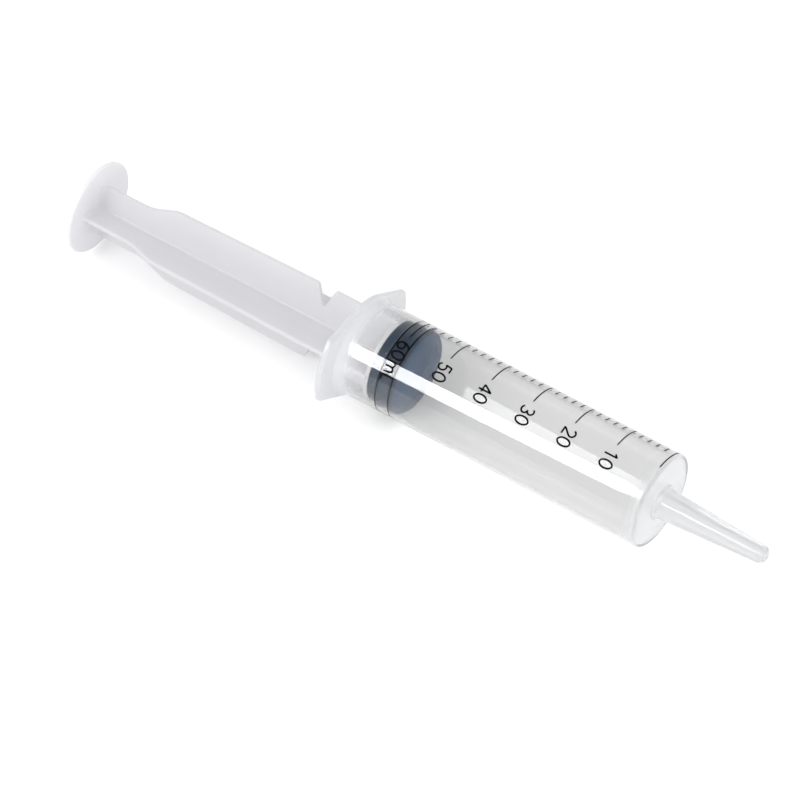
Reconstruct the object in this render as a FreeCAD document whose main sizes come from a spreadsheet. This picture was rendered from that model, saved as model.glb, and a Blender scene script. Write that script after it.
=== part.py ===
import FreeCAD, Part
import math
import os
import Sketcher
from FreeCAD import Vector

# A 60 mL catheter-tip syringe, drawn with its plunger pulled out.
#
# Frame: millimetres, +Z up, the syringe lies on its side. The axis of the barrel is the X axis
# and +X points to the tip. The origin is on that axis, in the front face of the finger flange.
# The pieces are drawn with the wings of the flange along Y and -Y. Then all three are turned
# together about the axis, so that the flange lies on its round middle and one corner of a wing.
#
# Pieces: the barrel with its flange and tip is one moulding, the plunger rod is another,
# and the rubber stopper is buttoned over the head of the rod.

os.makedirs("parts", exist_ok=True)
doc = FreeCAD.newDocument("catheter_tip_syringe")


# Driving sizes
# Name, millimetres, and what it measures.

SIZES = [
    ("stopper_position", 11.1, "flange front face to the back face of the stopper"),
    ("barrel_outer_dia", 31.5, "outside of the straight barrel wall"),
    ("barrel_wall", 1.25, "thickness of the barrel wall"),
    ("barrel_length", 109.8, "flange front face to barrel front face"),
    ("front_wall", 1.4, "thickness of the front wall at its rim"),
    ("front_dish", 0.8, "depth of the shallow cone inside the front wall, and of the nose"),
    ("shoulder_round", 1.2, "rounding between barrel wall and front face"),
    ("flange_thickness", 2.0, "thickness of the finger flange"),
    ("hub_overhang", 1.45, "barrel wall out to the rim of the flange's round middle"),
    ("wing_overhang", 8.0, "barrel wall out to the curved end of a wing"),
    ("wing_width", 22.3, "width of a wing across its end"),
    ("wing_corner", 1.7, "rounding of the wing corners in plan"),
    ("flange_edge_round", 0.5, "rounding along the edges of the flange"),
    ("flare_length", 3.0, "root flare, along the barrel"),
    ("flare_height", 1.15, "root flare, out from the barrel wall"),
    ("mouth_chamfer", 0.45, "lead-in at the open end"),
    ("bead_height", 0.25, "height of the bead that holds the stopper in"),
    ("bead_width", 1.8, "width of that bead along the bore"),
    ("bead_ramp", 0.6, "length of each ramp of that bead"),
    ("bead_setback", 2.4, "open end to the start of that bead"),
    ("tip_cone_length", 35.4, "front face to the start of the rounded tip end"),
    ("tip_root_dia", 10.3, "tip at the front face"),
    ("tip_end_dia", 5.9, "tip where its end starts to round"),
    ("tip_end_round", 1.95, "rounding of the tip end"),
    ("tip_boss_dia", 11.8, "low step round the root of the tip"),
    ("tip_boss_length", 1.1, "length of that step"),
    ("lumen_dia", 3.0, "straight channel in the tip"),
    ("lumen_root_dia", 5.0, "channel where it leaves the barrel"),
    ("lumen_straight", 16.0, "length of the straight channel, to the end of the cone"),
    ("disc_dia", 31.5, "thumb disc"),
    ("disc_thickness", 1.75, "thumb disc"),
    ("disc_round", 0.6, "rounding of the thumb disc rim"),
    ("rod_length", 113.65, "back of the thumb disc to the back of the front disc"),
    ("rib_thickness", 1.5, "thickness of the four ribs"),
    ("rib_neck_radius", 9.3, "axis to the rib edge behind the widening"),
    ("rib_gap", 0.5, "rib edge to the bore, in the barrel"),
    ("rib_taper", 0.95, "how much closer to the axis the rib edge is where the widening ends"),
    ("neck_length", 19.1, "front of the thumb disc to the start of the widening"),
    ("widening_length", 9.4, "length of the widening"),
    ("widening_round", 14.0, "rounding at both ends of the widening"),
    ("rib_root_round", 0.5, "fillet in the four inner corners of the ribs"),
    ("rib_edge_break", 0.25, "chamfer along the rib edges"),
    ("notch_setback", 25.8, "middle of the notch to the back of the front disc"),
    ("notch_width", 6.5, "notch across its top"),
    ("notch_floor_width", 0.9, "notch across its floor"),
    ("notch_floor_radius", 7.0, "axis to the floor of the notch"),
    ("notch_round", 1.0, "rounding of the outer corners of the notch"),
    ("front_disc_gap", 0.9, "rim of the disc that pushes the stopper to the bore"),
    ("front_disc_thickness", 1.4, "thickness of that disc"),
    ("button_neck_dia", 12.0, "neck between front disc and button"),
    ("button_neck_length", 2.7, "length of that neck"),
    ("button_dia", 17.2, "button inside the stopper"),
    ("button_length", 3.0, "length of the button"),
    ("button_chamfer", 1.0, "chamfer at the front of the button"),
    ("button_clearance", 0.1, "gap all round between rod and stopper"),
    ("stopper_length", 9.5, "back face to the front rim of the stopper"),
    ("lip_height", 0.75, "sealing lip, out from the rest of the stopper"),
    ("lip_clearance", 0.05, "gap between a sealing lip and the bore"),
    ("lip_crest", 0.5, "width of a lip where it meets the bore"),
    ("lip_base", 2.1, "width of the back lip at its root"),
    ("back_lip_setback", 3.7, "back face of the stopper to the middle of the back lip"),
    ("front_lip_slope", 0.7, "length of the front flank of the front lip"),
    ("nose_flat_dia", 5.0, "flat in the middle of the nose"),
    ("stopper_edge", 0.35, "chamfer at the back edge of the stopper"),
]

sheet = doc.addObject("Spreadsheet::Sheet", "sizes")


class Size:
    """A length that knows its number and the sheet expression that it comes from."""

    def __init__(self, number, text):
        self.number = number
        self.text = text

    @staticmethod
    def of(other):
        if isinstance(other, Size):
            return other
        return Size(float(other), str(other))

    def __add__(self, other):
        other = Size.of(other)
        return Size(self.number + other.number, "(" + self.text + " + " + other.text + ")")

    def __sub__(self, other):
        other = Size.of(other)
        return Size(self.number - other.number, "(" + self.text + " - " + other.text + ")")

    def __mul__(self, other):
        other = Size.of(other)
        return Size(self.number * other.number, "(" + self.text + " * " + other.text + ")")

    def __truediv__(self, other):
        other = Size.of(other)
        return Size(self.number / other.number, "(" + self.text + " / " + other.text + ")")

    def __neg__(self):
        return Size(-self.number, "(0 - " + self.text + ")")

    def root(self):
        return Size(math.sqrt(self.number), "sqrt(" + self.text + ")")


size = {}
for row, (alias, millimetres, meaning) in enumerate(SIZES, start=1):
    sheet.set("A%d" % row, meaning)
    sheet.set("B%d" % row, str(millimetres))
    sheet.setAlias("B%d" % row, alias)
    size[alias] = Size(millimetres, "sizes." + alias)
doc.recompute()

ZERO = Size(0.0, "0")
COS_30 = math.cos(math.radians(30))
COS_60 = 0.5
X = Vector(1, 0, 0)
Y = Vector(0, 1, 0)
Z = Vector(0, 0, 1)
SAME_PLACE = 0.01


def close(a, b):
    return abs(a - b) < SAME_PLACE


# Drawing helpers

def new_body(label):
    body = doc.addObject("PartDesign::Body", label)
    body.Label = label
    return body


def origin_object(body, role):
    for item in body.Origin.OriginFeatures:
        if item.Role == role:
            return item
    raise ValueError("the body has no " + role)


def new_sketch(body, name, role):
    sketch = body.newObject("Sketcher::SketchObject", name)
    sketch.AttachmentSupport = [(origin_object(body, role), "")]
    sketch.MapMode = "FlatFace"
    return sketch


def bind_distance(sketch, kind, geometry, point, size):
    """Hold one point of the sketch at a bound distance from the origin, along one sketch axis."""
    index = sketch.addConstraint(Sketcher.Constraint(kind, -1, 1, geometry, point, size.number))
    sketch.setExpression("Constraints[%d]" % index, size.text)


def bind_circle(sketch, radius):
    """Add a full circle round the origin of the sketch."""
    circle = sketch.addGeometry(Part.Circle(Vector(0, 0, 0), Z, radius.number))
    sketch.addConstraint(Sketcher.Constraint("Coincident", circle, 3, -1, 1))
    index = sketch.addConstraint(Sketcher.Constraint("Radius", circle, radius.number))
    sketch.setExpression("Constraints[%d]" % index, radius.text)


def draw_outline(sketch, start, steps):
    """Draw one closed outline and bind every corner of it to the sheet.

    start is the first corner. Each step is (corner,) for a straight edge to that corner, or
    (corner, centre) for a quarter turn or less round that centre, the short way.
    """
    here = start
    edges = []
    for step in steps:
        there = step[0]
        a = Vector(here[0].number, here[1].number, 0)
        b = Vector(there[0].number, there[1].number, 0)
        if len(step) == 1:
            edge = sketch.addGeometry(Part.LineSegment(a, b))
            first, last = 1, 2
        else:
            centre = Vector(step[1][0].number, step[1][1].number, 0)
            angle_a = math.atan2(a.y - centre.y, a.x - centre.x)
            angle_b = math.atan2(b.y - centre.y, b.x - centre.x)
            turn = (angle_b - angle_a + math.pi) % (2 * math.pi) - math.pi
            circle = Part.Circle(centre, Z, (a - centre).Length)
            if turn > 0:
                edge = sketch.addGeometry(Part.ArcOfCircle(circle, angle_a, angle_a + turn))
                first, last = 1, 2
            else:
                edge = sketch.addGeometry(Part.ArcOfCircle(circle, angle_b, angle_b - turn))
                first, last = 2, 1
            if close(a.y, b.y):
                bind_distance(sketch, "DistanceY", edge, 3, step[1][1])
            else:
                bind_distance(sketch, "DistanceX", edge, 3, step[1][0])
        bind_distance(sketch, "DistanceX", edge, last, there[0])
        bind_distance(sketch, "DistanceY", edge, last, there[1])
        edges.append((edge, first, last))
        here = there
    for before, after in zip(edges, edges[1:] + edges[:1]):
        sketch.addConstraint(Sketcher.Constraint("Coincident", before[0], before[2], after[0], after[1]))


def quarter_in_flats(centre, radius, start_side, end_side):
    """Steps of an outline that round a corner in three flats, from one side of the centre to another.

    Each side is a unit direction such as (-1, 0). Three flats keep the rim of a disc light to mesh.
    """
    steps = []
    for toward_start, toward_end in ((COS_30, COS_60), (COS_60, COS_30), (0.0, 1.0)):
        along = start_side[0] * toward_start + end_side[0] * toward_end
        out = start_side[1] * toward_start + end_side[1] * toward_end
        steps.append(((centre[0] + radius * along, centre[1] + radius * out),))
    return steps


def finish_feature(body, feature):
    """Recompute and stop with the feature's name if it failed."""
    body.Tip = feature
    doc.recompute()
    if "Invalid" in feature.State or "Error" in feature.State:
        raise ValueError(feature.Name + " failed: " + str(feature.State))
    if feature.Shape.isNull() or not feature.Shape.isValid():
        raise ValueError(feature.Name + " gave no valid shape")
    return feature


def revolve(body, name, sketch):
    turned = body.newObject("PartDesign::Revolution", name)
    turned.Profile = sketch
    turned.ReferenceAxis = (origin_object(body, "X_Axis"), [""])
    turned.Angle = 360.0
    sketch.Visibility = False
    return finish_feature(body, turned)


def pad_midplane(body, name, sketch, thickness):
    pad = body.newObject("PartDesign::Pad", name)
    pad.Profile = sketch
    pad.Midplane = True
    pad.Length = thickness.number
    pad.setExpression("Length", thickness.text)
    sketch.Visibility = False
    return finish_feature(body, pad)


def dress_edges(body, name, base, keep, kind, amount, length):
    """Fillet or chamfer every edge of the base for which keep(edge) is true."""
    names = ["Edge%d" % (i + 1) for i, edge in enumerate(base.Shape.Edges) if keep(edge)]
    if not names:
        raise ValueError(name + " found no edge")
    dressing = body.newObject(kind, name)
    dressing.Base = (base, names)
    dressing.setExpression(amount, length.text)
    return finish_feature(body, dressing)


def round_edges(body, name, base, keep, radius):
    return dress_edges(body, name, base, keep, "PartDesign::Fillet", "Radius", radius)


def chamfer_edges(body, name, base, keep, setback):
    return dress_edges(body, name, base, keep, "PartDesign::Chamfer", "Size", setback)


def edge_runs_along(edge, axis):
    """True where the edge is straight and parallel to one axis."""
    if not isinstance(edge.Curve, (Part.Line, Part.LineSegment)):
        return False
    return edge.tangentAt(edge.FirstParameter).cross(axis).Length < SAME_PLACE


# Sizes that follow from the sheet

barrel_radius = size["barrel_outer_dia"] / 2
bore_radius = barrel_radius - size["barrel_wall"]
flange_back = -size["flange_thickness"]
hub_radius = barrel_radius + size["hub_overhang"]
wing_reach = barrel_radius + size["wing_overhang"]
front_face = size["barrel_length"]
inner_front = front_face - size["front_wall"]

tip_root_radius = size["tip_root_dia"] / 2
tip_end_radius = size["tip_end_dia"] / 2
lumen_radius = size["lumen_dia"] / 2
lumen_root_radius = size["lumen_root_dia"] / 2
tip_round_centre = front_face + size["tip_cone_length"]
tip_round_out = tip_end_radius - size["tip_end_round"]
tip_round_rise = lumen_radius - tip_round_out
tip_round_squared = size["tip_end_round"] * size["tip_end_round"]
tip_round_depth = (tip_round_squared - tip_round_rise * tip_round_rise).root()
tip_end = tip_round_centre + tip_round_depth
lumen_taper_end = tip_round_centre - size["lumen_straight"]
lumen_root = inner_front + size["front_dish"] * (bore_radius - lumen_root_radius) / bore_radius
boss_front = front_face + size["tip_boss_length"]
boss_radius = size["tip_boss_dia"] / 2
tip_slope = (tip_root_radius - tip_end_radius) / size["tip_cone_length"]
tip_radius_at_boss = tip_root_radius - tip_slope * size["tip_boss_length"]

disc_radius = size["disc_dia"] / 2
rib_front_radius = bore_radius - size["rib_gap"]
rib_back_radius = rib_front_radius - size["rib_taper"]
front_disc_front = size["stopper_position"] - size["button_clearance"]
front_disc_back = front_disc_front - size["front_disc_thickness"]
front_disc_radius = bore_radius - size["front_disc_gap"]
disc_back = front_disc_back - size["rod_length"]
disc_front = disc_back + size["disc_thickness"]
rib_start = disc_front - size["disc_thickness"] / 2
rib_end = front_disc_back + size["front_disc_thickness"] / 2
neck_end = disc_front + size["neck_length"]
widening_end = neck_end + size["widening_length"]
notch_middle = front_disc_back - size["notch_setback"]
taper_end = notch_middle - size["notch_width"]

button_neck_radius = size["button_neck_dia"] / 2
button_radius = size["button_dia"] / 2
button_back = front_disc_front + size["button_neck_length"]
button_front = button_back + size["button_length"]
button_face_radius = button_radius - size["button_chamfer"]

lip_radius = bore_radius - size["lip_clearance"]
stopper_radius = lip_radius - size["lip_height"]
stopper_back = size["stopper_position"]
stopper_rim = stopper_back + size["stopper_length"]
stopper_nose = stopper_rim + size["front_dish"]
back_lip = stopper_back + size["back_lip_setback"]
front_lip_front = stopper_rim - size["front_lip_slope"]
front_lip_back = front_lip_front - size["lip_crest"]
lip_flank = (size["lip_base"] - size["lip_crest"]) / 2


# Turn about the axis that lays the flange down: the corner of a wing comes as low as the middle.
half_wing_angle = math.degrees(math.asin(size["wing_width"].number / 2 / wing_reach.number))
tangent_angle = math.degrees(math.acos(hub_radius.number / wing_reach.number))
resting_turn = Size(
    90 - half_wing_angle - tangent_angle,
    "90 deg - asin(%s / 2 / %s) - acos(%s / %s)"
    % (size["wing_width"].text, wing_reach.text, hub_radius.text, wing_reach.text))


# Barrel
# The finger flange is padded first. The tube, its front wall and the tip are one turned profile.

def build_barrel():
    body = new_body("barrel")

    plan = new_sketch(body, "flange_plan", "YZ_Plane")
    half_width = size["wing_width"] / 2
    reach_squared = wing_reach * wing_reach
    corner_y = (reach_squared - half_width * half_width).root()
    hub_squared = hub_radius * hub_radius
    tangent = hub_radius * (reach_squared - hub_squared).root()
    touch_y = (hub_squared * corner_y - tangent * half_width) / reach_squared
    touch_z = (hub_squared * half_width + tangent * corner_y) / reach_squared
    centre = (ZERO, ZERO)
    draw_outline(plan, (corner_y, -half_width), [
        ((corner_y, half_width), centre),
        ((touch_y, touch_z),),
        ((-touch_y, touch_z), centre),
        ((-corner_y, half_width),),
        ((-corner_y, -half_width), centre),
        ((-touch_y, -touch_z),),
        ((touch_y, -touch_z), centre),
        ((corner_y, -half_width),),
    ])
    bind_circle(plan, bore_radius + size["mouth_chamfer"])
    flange = body.newObject("PartDesign::Pad", "flange_plate")
    flange.Profile = plan
    flange.Reversed = True
    flange.setExpression("Length", size["flange_thickness"].text)
    plan.Visibility = False
    finish_feature(body, flange)

    def at_wing_corner(edge):
        middle = edge.CenterOfMass
        far_out = close(abs(middle.y), corner_y.number) and close(abs(middle.z), half_width.number)
        return edge_runs_along(edge, X) and far_out

    corners = round_edges(body, "wing_corners", flange, at_wing_corner, size["wing_corner"])

    def on_flange_rim(edge):
        box = edge.BoundBox
        flat = box.XLength < SAME_PLACE
        end = edge.valueAt(edge.FirstParameter)
        return flat and math.hypot(end.y, end.z) > hub_radius.number - SAME_PLACE

    round_edges(body, "flange_rim", corners, on_flange_rim, size["flange_edge_round"])

    profile = new_sketch(body, "tube_profile", "XZ_Plane")
    bead_start = flange_back + size["bead_setback"]
    bead_end = bead_start + size["bead_width"]
    bead_radius = bore_radius - size["bead_height"]
    flare_top = barrel_radius + size["flare_height"]
    flare_length_squared = size["flare_length"] * size["flare_length"]
    flare_height_squared = size["flare_height"] * size["flare_height"]
    flare_round = (flare_length_squared + flare_height_squared) / (size["flare_height"] * 2)
    round_back = front_face - size["shoulder_round"]
    round_low = barrel_radius - size["shoulder_round"]
    draw_outline(profile, (flange_back, bore_radius + size["mouth_chamfer"]), [
        ((flange_back + size["mouth_chamfer"], bore_radius),),
        ((bead_start, bore_radius),),
        ((bead_start + size["bead_ramp"], bead_radius),),
        ((bead_end - size["bead_ramp"], bead_radius),),
        ((bead_end, bore_radius),),
        ((inner_front, bore_radius),),
        ((lumen_root, lumen_root_radius),),
        ((lumen_taper_end, lumen_radius),),
        ((tip_end, lumen_radius),),
        ((tip_round_centre, tip_end_radius), (tip_round_centre, tip_round_out)),
        ((boss_front, tip_radius_at_boss),),
        ((boss_front, boss_radius),),
        ((front_face, boss_radius),),
        ((front_face, round_low),),
        *quarter_in_flats((round_back, round_low), size["shoulder_round"], (1, 0), (0, 1)),
        ((size["flare_length"], barrel_radius),),
        ((ZERO, flare_top), (size["flare_length"], barrel_radius + flare_round)),
        ((flange_back, flare_top),),
        ((flange_back, bore_radius + size["mouth_chamfer"]),),
    ])
    revolve(body, "tube_and_tip", profile)
    return body


# Plunger rod
# Two crossed plates make the four ribs. The upright plate has the pair of notches.

def rib_outline(sketch, notched):
    """Outline of one plate, the same above and below the axis."""
    edge = [
        (rib_start, size["rib_neck_radius"]),
        (neck_end, size["rib_neck_radius"]),
        (widening_end, rib_back_radius),
        (taper_end, rib_front_radius),
    ]
    if notched:
        top_half = size["notch_width"] / 2
        floor_half = size["notch_floor_width"] / 2
        edge.append((notch_middle - top_half, rib_front_radius))
        edge.append((notch_middle - floor_half, size["notch_floor_radius"]))
        edge.append((notch_middle + floor_half, size["notch_floor_radius"]))
        edge.append((notch_middle + top_half, rib_front_radius))
    edge.append((rib_end, rib_front_radius))
    mirrored = [(along, -out) for along, out in reversed(edge)]
    corners = edge[1:] + mirrored + edge[:1]
    draw_outline(sketch, edge[0], [(corner,) for corner in corners])


def round_rib_outline(body, name, pad, across, notched):
    """Round the corners of a plate in side view: the widening, then the notch."""

    def at_corners(places):
        def keep(edge):
            middle = edge.CenterOfMass
            out = abs(middle.z) if across is Y else abs(middle.y)
            hit = any(close(middle.x, x.number) and close(out, r.number) for x, r in places)
            return edge_runs_along(edge, across) and hit
        return keep

    widening = [(neck_end, size["rib_neck_radius"]), (widening_end, rib_back_radius)]
    rounded = round_edges(body, name + "_widening", pad, at_corners(widening), size["widening_round"])
    if notched:
        top_half = size["notch_width"] / 2
        brink = [
            (notch_middle - top_half, rib_front_radius),
            (notch_middle + top_half, rib_front_radius),
        ]
        rounded = round_edges(body, name + "_notch", rounded, at_corners(brink), size["notch_round"])
    return rounded


def break_rib_edges(body, name, base, faces_along):
    """Break the outer edges of a plate, where its sides meet its rim."""
    half = size["rib_thickness"].number / 2

    def keep(edge):
        middle = edge.CenterOfMass
        side = middle.y if faces_along is Y else middle.z
        out = abs(middle.z) if faces_along is Y else abs(middle.y)
        box = edge.BoundBox
        flat = (box.YLength if faces_along is Y else box.ZLength) < SAME_PLACE
        inside = rib_start.number + SAME_PLACE < middle.x < rib_end.number - SAME_PLACE
        return flat and inside and close(abs(side), half) and out > size["rib_thickness"].number

    return chamfer_edges(body, name, base, keep, size["rib_edge_break"])


def build_rod():
    body = new_body("plunger_rod")

    upright = new_sketch(body, "upright_rib_outline", "XZ_Plane")
    rib_outline(upright, True)
    pad = pad_midplane(body, "upright_ribs", upright, size["rib_thickness"])
    pad = round_rib_outline(body, "upright", pad, Y, True)
    break_rib_edges(body, "upright_rib_edges", pad, Y)

    level = new_sketch(body, "level_rib_outline", "XY_Plane")
    rib_outline(level, False)
    pad = pad_midplane(body, "level_ribs", level, size["rib_thickness"])
    pad = round_rib_outline(body, "level", pad, Z, False)
    crossed = break_rib_edges(body, "level_rib_edges", pad, Z)

    half = size["rib_thickness"].number / 2

    def at_inner_corner(edge):
        middle = edge.CenterOfMass
        inner = close(abs(middle.y), half) and close(abs(middle.z), half)
        return edge_runs_along(edge, X) and inner

    round_edges(body, "rib_roots", crossed, at_inner_corner, size["rib_root_round"])

    profile = new_sketch(body, "turned_profile", "XZ_Plane")
    rim_back = disc_back + size["disc_round"]
    rim_front = disc_front - size["disc_round"]
    rim_low = disc_radius - size["disc_round"]
    draw_outline(profile, (disc_back, ZERO), [
        ((disc_back, rim_low),),
        *quarter_in_flats((rim_back, rim_low), size["disc_round"], (-1, 0), (0, 1)),
        ((rim_front, disc_radius),),
        *quarter_in_flats((rim_front, rim_low), size["disc_round"], (0, 1), (1, 0)),
        ((disc_front, ZERO),),
        ((disc_back, ZERO),),
    ])
    draw_outline(profile, (front_disc_back, ZERO), [
        ((front_disc_back, front_disc_radius),),
        ((front_disc_front, front_disc_radius),),
        ((front_disc_front, button_neck_radius),),
        ((button_back, button_neck_radius),),
        ((button_back, button_radius),),
        ((button_front - size["button_chamfer"], button_radius),),
        ((button_front, button_face_radius),),
        ((button_front, ZERO),),
        ((front_disc_back, ZERO),),
    ])
    revolve(body, "discs_and_button", profile)
    return body


# Stopper
# Two narrow lips seal against the bore. The cavity fits the button of the rod.

def build_stopper():
    body = new_body("stopper")
    profile = new_sketch(body, "stopper_profile", "XZ_Plane")
    gap = size["button_clearance"]
    cavity_back = button_back - gap
    cavity_front = button_front + gap
    cavity_corner = button_front - size["button_chamfer"] + gap
    edge = size["stopper_edge"]
    draw_outline(profile, (stopper_back, button_neck_radius + gap), [
        ((cavity_back, button_neck_radius + gap),),
        ((cavity_back, button_radius + gap),),
        ((cavity_corner, button_radius + gap),),
        ((cavity_front, button_face_radius + gap),),
        ((cavity_front, ZERO),),
        ((stopper_nose, ZERO),),
        ((stopper_nose, size["nose_flat_dia"] / 2),),
        ((stopper_rim, stopper_radius),),
        ((front_lip_front, lip_radius),),
        ((front_lip_back, lip_radius),),
        ((front_lip_back - lip_flank, stopper_radius),),
        ((back_lip + size["lip_base"] / 2, stopper_radius),),
        ((back_lip + size["lip_crest"] / 2, lip_radius),),
        ((back_lip - size["lip_crest"] / 2, lip_radius),),
        ((back_lip - size["lip_base"] / 2, stopper_radius),),
        ((stopper_back + edge, stopper_radius),),
        ((stopper_back, stopper_radius - edge),),
        ((stopper_back, button_neck_radius + gap),),
    ])
    revolve(body, "turned_rubber", profile)
    return body


bodies = [build_barrel(), build_rod(), build_stopper()]
for body in bodies:
    body.Placement = FreeCAD.Placement(Vector(), FreeCAD.Rotation(-X, resting_turn.number))
    body.setExpression("Placement.Rotation.Angle", resting_turn.text)
doc.recompute()
print("turned by %.2f degrees to lie at rest" % math.degrees(bodies[0].Placement.Rotation.Angle))

for item in doc.Objects:
    if "Invalid" in item.State or "Error" in item.State:
        raise ValueError(item.Name + " failed: " + str(item.State))
for body in bodies:
    if body.Shape.isNull() or not body.Shape.isValid():
        raise ValueError(body.Label + " has no valid shape")
    if len(body.Shape.Solids) != 1:
        raise ValueError(body.Label + " should be one solid")
    body.Shape.exportStep("parts/" + body.Label + ".step")
    box = body.Shape.optimalBoundingBox(False)
    print("%-12s %9.1f mm3  x %.2f to %.2f  y %.2f to %.2f  z %.2f to %.2f" % (
        body.Label, body.Shape.Volume, box.XMin, box.XMax, box.YMin, box.YMax, box.ZMin, box.ZMax))
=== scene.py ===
# %% [markdown]
# # A catheter tip syringe
# The real object has three moulded pieces: a clear barrel with a finger flange and a long tip,
# a milky plunger rod with four crossed ribs, and a dark rubber stopper. A scale is printed on
# the barrel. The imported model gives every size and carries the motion. This file gives it looks.

# %% Load the frame
import math
import bpy
from mathutils import Matrix, Vector


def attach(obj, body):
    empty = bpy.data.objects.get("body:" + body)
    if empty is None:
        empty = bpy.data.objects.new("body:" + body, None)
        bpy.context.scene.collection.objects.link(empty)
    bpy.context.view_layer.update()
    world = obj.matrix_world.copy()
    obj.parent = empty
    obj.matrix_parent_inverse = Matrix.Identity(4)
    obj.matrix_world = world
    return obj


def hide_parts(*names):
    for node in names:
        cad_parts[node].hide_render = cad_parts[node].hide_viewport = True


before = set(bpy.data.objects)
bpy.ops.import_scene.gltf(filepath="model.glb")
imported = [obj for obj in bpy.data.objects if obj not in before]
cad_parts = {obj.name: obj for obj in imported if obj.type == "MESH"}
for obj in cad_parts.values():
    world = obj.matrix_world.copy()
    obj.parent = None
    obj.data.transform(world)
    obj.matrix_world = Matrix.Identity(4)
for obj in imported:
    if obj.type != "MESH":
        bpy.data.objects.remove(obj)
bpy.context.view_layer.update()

# %% [markdown]
# ## Sizes
# Outlines are written in millimetres, because that is how a mould maker would give them, and the
# scene itself is in metres. They are the sizes of the solids. The axis of the syringe is X, with
# zero at the front of the flange and the tip at the far end. A profile is a list of points
# (along, out): how far along the axis, and how far out from it.

# %% Sizes that several pieces share, in millimetres
MM = 0.001
BARREL_RADIUS = 15.75
BORE_RADIUS = 14.5
HUB_RADIUS = 17.2
WING_REACH = 23.75
WING_WIDTH = 22.3

# The drawn outlines have the wings along Y. At rest the flange lies on its round middle and one
# wing corner, so everything is turned about the axis by the angle between those two.
wing_half_angle = math.asin(WING_WIDTH / 2 / WING_REACH)
tangent_angle = math.acos(HUB_RADIUS / WING_REACH)
resting_turn = math.pi / 2 - wing_half_angle - tangent_angle
print("turned to rest by %.2f degrees" % math.degrees(resting_turn))

# %% [markdown]
# ## Helpers for shapes
# Every piece here is turned on a lathe or nearly so. One helper skins a list of rings into a mesh,
# and two more give the points of an arc and of a ring. Cylinders and cones from a menu would
# give faceted walls with hard rims, while a profile keeps each rounding of the mould.


# %% Turn a drawn point to its place
def placed(x, y, z):
    """A point of the drawing, in millimetres, as a point of the scene at rest, in metres."""
    down = -resting_turn
    turned_y = y * math.cos(down) - z * math.sin(down)
    turned_z = y * math.sin(down) + z * math.cos(down)
    return (x * MM, turned_y * MM, turned_z * MM)


# %% Make a closed mesh face outwards
def finish_mesh(name, corners, faces):
    """Make a piece of a closed skin. Its faces must look outwards, or light bends the wrong way."""
    mesh = bpy.data.meshes.new(name)
    mesh.from_pydata(corners, [], faces)
    mesh.validate()
    volume = 0.0
    for face in mesh.polygons:
        fan = [Vector(mesh.vertices[i].co) for i in face.vertices]
        for b, c in zip(fan[1:], fan[2:]):
            volume += fan[0].dot(b.cross(c)) / 6
    if volume < 0:
        mesh.flip_normals()
    piece = bpy.data.objects.new(name, mesh)
    bpy.context.scene.collection.objects.link(piece)
    print("%s: %d faces, %.2f ml" % (name, len(mesh.polygons), abs(volume) * 1e6))
    return piece


# %% Skin rings into a mesh
SMOOTH_ANGLE = math.radians(35.0)


def skin(name, rings, closed):
    """Join rings of equal length by quads. closed joins the last ring to the first.

    Where closed is false, each end is closed by a fan round its middle.
    """
    count = len(rings[0])
    corners = [point for ring in rings for point in ring]
    faces = []
    joints = len(rings) if closed else len(rings) - 1
    for r in range(joints):
        low = r * count
        high = ((r + 1) % len(rings)) * count
        for i in range(count):
            j = (i + 1) % count
            faces.append((low + i, low + j, high + j, high + i))
    if not closed:
        for r, flip in ((0, True), (len(rings) - 1, False)):
            middle = [sum(p[k] for p in rings[r]) / count for k in range(3)]
            corners.append(tuple(middle))
            hub = len(corners) - 1
            for i in range(count):
                a = r * count + i
                b = r * count + (i + 1) % count
                faces.append((hub, b, a) if flip else (hub, a, b))
    piece = finish_mesh(name, corners, faces)
    piece.data.shade_smooth()
    piece.data.set_sharp_from_angle(angle=SMOOTH_ANGLE)
    return piece


# %% Points of arcs and rings
def polar(radius, angle):
    return (radius * math.cos(angle), radius * math.sin(angle))


def arc(centre, radius, start, end, steps):
    """Points of an arc in the profile plane, as (along, out), with angles in degrees."""
    points = []
    for k in range(steps + 1):
        x, y = polar(radius, math.radians(start + (end - start) * k / steps))
        points.append((centre[0] + x, centre[1] + y))
    return points


def ring_at(along, out, angles):
    return [placed(along, *polar(out, a)) for a in angles]


# %% [markdown]
# ## Barrel
# The real barrel is one injection moulding of clear polypropylene. The flange is not round, so a
# plain lathe can't make it. But seen from the axis its rim is met once in every direction, so
# each ring of the mesh can follow the rim instead of a circle. That keeps flange, tube and tip
# one closed skin with no inner walls, and light bends only where it would in the real moulding.

# %% The rim of the flange, corner by corner
WING_CORNER = 1.7
END_STEPS = 18
CORNER_STEPS = 14
SIDE_STEPS = 12
HUB_STEPS = 14


def corner_ball():
    """Centre of the rounding of a wing corner, and where it touches the arc and the straight side."""
    reach = WING_REACH - WING_CORNER
    # The straight side runs from the corner to the round middle, square to this direction.
    square = wing_half_angle + tangent_angle
    off = HUB_RADIUS - WING_CORNER
    # The centre lies inside the end arc and inside the side by the radius of the rounding.
    turn = square - math.acos(off / reach)
    return polar(reach, turn), turn, square


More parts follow.
